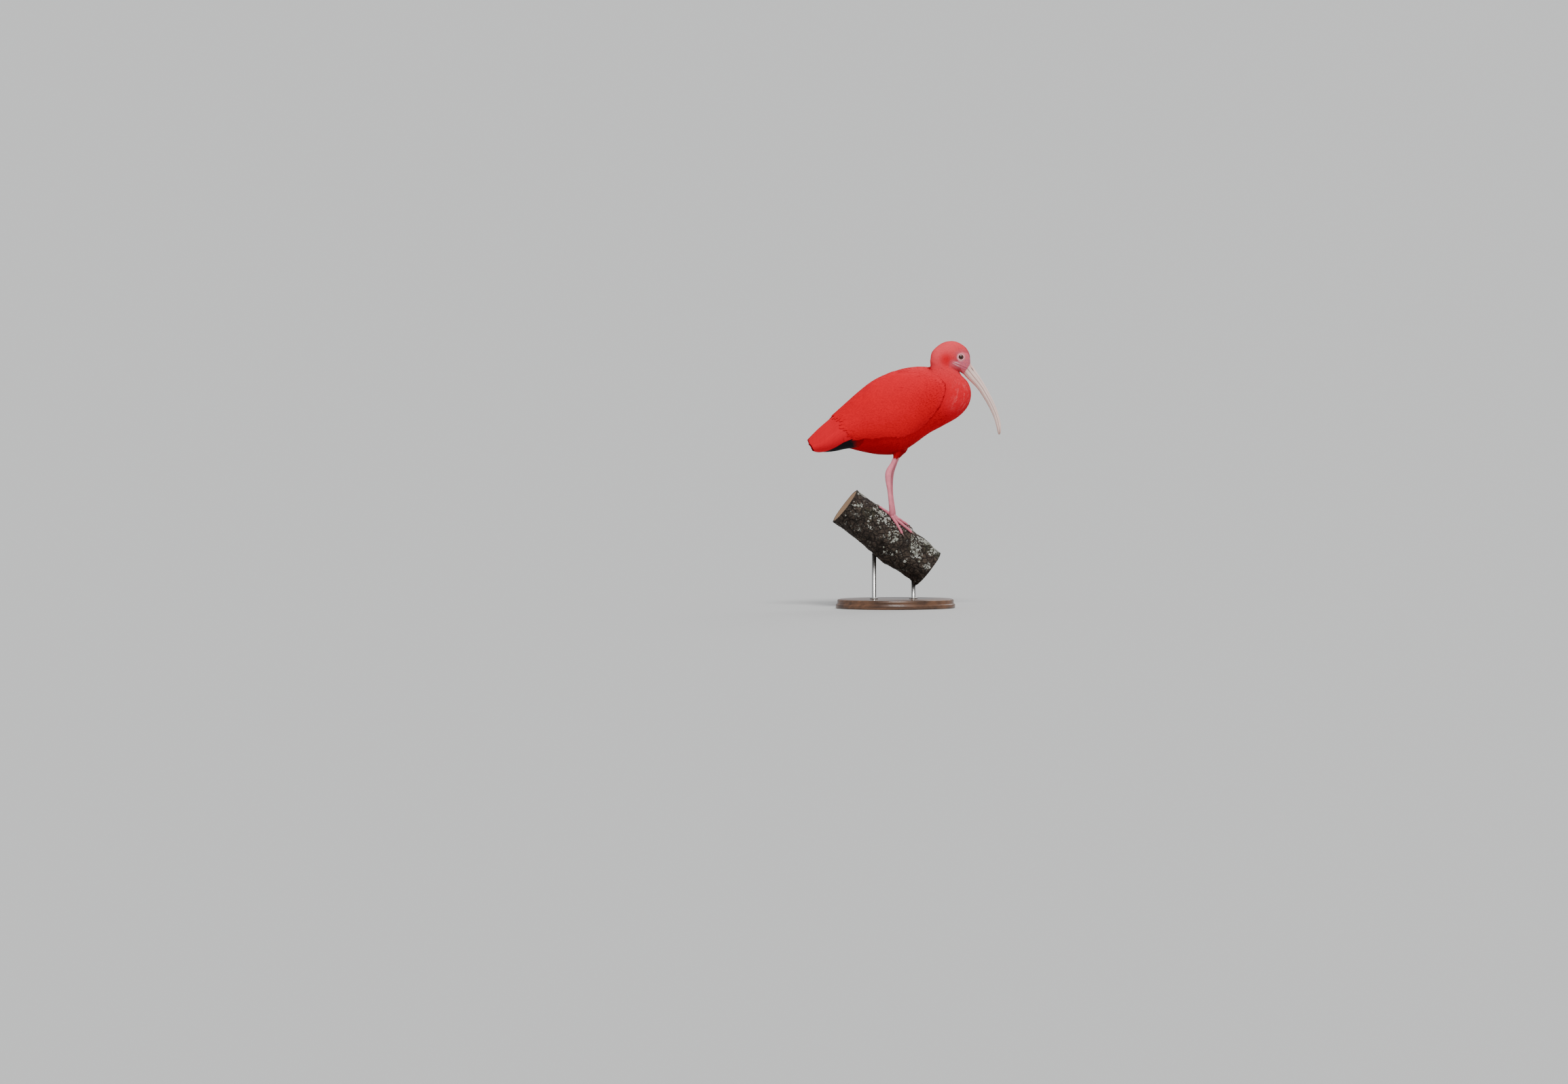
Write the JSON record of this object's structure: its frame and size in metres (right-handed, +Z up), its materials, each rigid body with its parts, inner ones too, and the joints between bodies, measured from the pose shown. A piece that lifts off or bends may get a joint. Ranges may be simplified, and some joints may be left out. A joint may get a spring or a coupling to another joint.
{
  "type": "scarlet ibis museum model",
  "caption": "Life-size model of a standing scarlet ibis on a cut length of branch, held by a plain display stand.",
  "frame": {"origin": "centre of the underside of the stand's base", "axes": "+X the way the bird faces, +Y to its left, +Z up"},
  "size_m": [0.3445, 0.156, 0.4716],
  "materials": {
    "body_feathers": "scarlet body feathers",
    "head_feathers": "coral red short feathers with bare dull pink skin round the eye",
    "wing_feathers": "scarlet flight feathers and coverts, the longest tips black",
    "bill_horn": "pale pink horn, darker towards the tip",
    "eye": "dark glossy eye",
    "leg_skin": "pink scaled skin",
    "claw_horn": "dark horn",
    "bark": "dark mossy bark with pale lichen",
    "stand_wood": "dark satin wood",
    "rod_steel": "brushed steel"
  },
  "bodies": {
    "root": {"torso": "body_feathers", "neck": "body_feathers", "head": "head_feathers", "bill_upper": "bill_horn", "bill_lower": "bill_horn", "wing_right": "wing_feathers", "wing_left": "wing_feathers", "tail": "wing_feathers", "eye_left": "eye", "thigh_left": "body_feathers", "tibia_left": "leg_skin", "tarsus_left": "leg_skin", "foot_left": "leg_skin", "claw_left_hallux": "claw_horn", "claw_left_inner": "claw_horn", "claw_left_middle": "claw_horn", "claw_left_outer": "claw_horn", "eye_right": "eye", "thigh_right": "body_feathers", "tibia_right": "leg_skin", "tarsus_right": "leg_skin", "foot_right": "leg_skin", "claw_right_hallux": "claw_horn", "claw_right_inner": "claw_horn", "claw_right_middle": "claw_horn", "claw_right_outer": "claw_horn", "perch": "bark", "stand_base": "stand_wood", "stand_rod_front": "rod_steel", "stand_rod_back": "rod_steel"}
  },
  "joints": []
}
